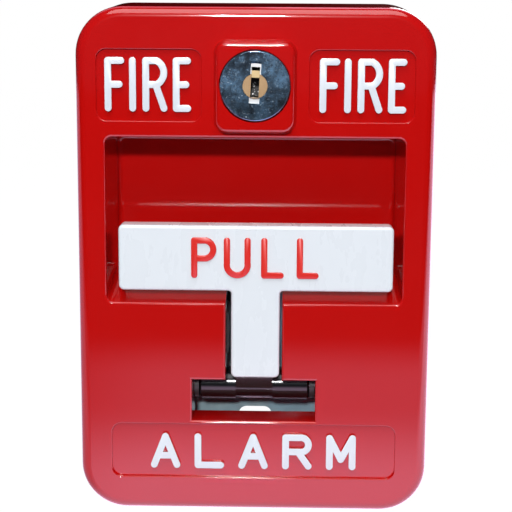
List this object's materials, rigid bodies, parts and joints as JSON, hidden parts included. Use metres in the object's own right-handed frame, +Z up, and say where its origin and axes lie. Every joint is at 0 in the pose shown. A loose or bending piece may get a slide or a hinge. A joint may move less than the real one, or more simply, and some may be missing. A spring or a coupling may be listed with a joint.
{
  "type": "manual call point",
  "caption": "Wall-mounted manual alarm pull station: red die-cast cover with finger recess, white T-handle, lock and steel back plate.",
  "frame": {"origin": "centre of the box-screw pattern on the wall plane, at the middle of the cover's height and width", "axes": "+Y into the wall, -Y out of the front face, +X to the right seen from the front, +Z up"},
  "size_m": [0.0842, 0.0262, 0.1206],
  "materials": {
    "red_paint": "glossy red enamel on a zinc die-casting",
    "white_ink": "satin white",
    "white_plastic": "glossy white moulding",
    "red_ink": "glossy red",
    "chrome": "polished chrome",
    "brass": "satin brass",
    "silver": "silver contact",
    "black_steel": "glossy black oxide",
    "bright_steel": "bright zinc-plated steel",
    "zinc_plate": "blue passivated zinc plate",
    "nylon": "natural nylon",
    "black_plastic": "black moulded plastic",
    "spring_brass": "phosphor bronze strip",
    "green_paint": "green dyed zinc plate"
  },
  "bodies": {
    "back": {"back_plate": "zinc_plate", "ground_screw": "green_paint", "switch_base": "black_plastic", "switch_lid": "black_plastic", "com_terminal": "brass", "nc_terminal": "brass", "no_terminal": "brass", "terminal_screws": "bright_steel", "switch_screws": "bright_steel"},
    "cover": {"front_cover": "red_paint", "fire_letters_left": "white_ink", "fire_letters_right": "white_ink", "alarm_letters": "white_ink", "lock_shell": "chrome", "lock_washer": "bright_steel", "lock_nut": "bright_steel", "pivot_pin": "bright_steel", "pivot_clips": "bright_steel", "detent_spring": "bright_steel", "detent_screw": "bright_steel", "hinge_pins": "bright_steel"},
    "handle": {"t_handle": "white_plastic", "pull_letters": "red_ink", "handle_bracket": "black_steel", "bracket_screws": "bright_steel", "pivot_barrel": "black_steel", "pivot_washers": "nylon"},
    "lock": {"lock_face": "chrome", "lock_plug": "brass", "lock_wafers": "brass", "lock_cam": "bright_steel", "cam_screw": "bright_steel"},
    "plunger": {"switch_plunger": "nylon"},
    "blade": {"contact_blade": "spring_brass", "blade_contact": "silver"}
  },
  "joints": [
    {"name": "cover_swing", "type": "hinge", "parent": "back", "child": "cover", "pos_m": [0, -0.004, -0.058], "axis": [1, 0, 0], "range_deg": [0, 90]},
    {"name": "handle_pull", "type": "hinge", "parent": "cover", "child": "handle", "pos_m": [0, -0.0124, -0.03045], "axis": [1, 0, 0], "range_deg": [0, 45]},
    {"name": "lock_turn", "type": "hinge", "parent": "cover", "child": "lock", "pos_m": [0, -0.02, 0.0417], "axis": [0, 1, 0], "range_deg": [0, 90]},
    {"name": "plunger_push", "type": "slide", "parent": "back", "child": "plunger", "axis": [0, 0, 1], "range_m": [0, 0.0016]},
    {"name": "blade_lift", "type": "hinge", "parent": "back", "child": "blade", "pos_m": [-0.033, -0.0124, -0.0192], "axis": [0, -1, 0], "range_deg": [0, 4.1]}
  ],
  "couplings": [
    {"joint": "plunger_push", "follows": "handle_pull", "m_per_rad": 0.002037},
    {"joint": "blade_lift", "follows": "handle_pull", "ratio": 0.09062}
  ]
}
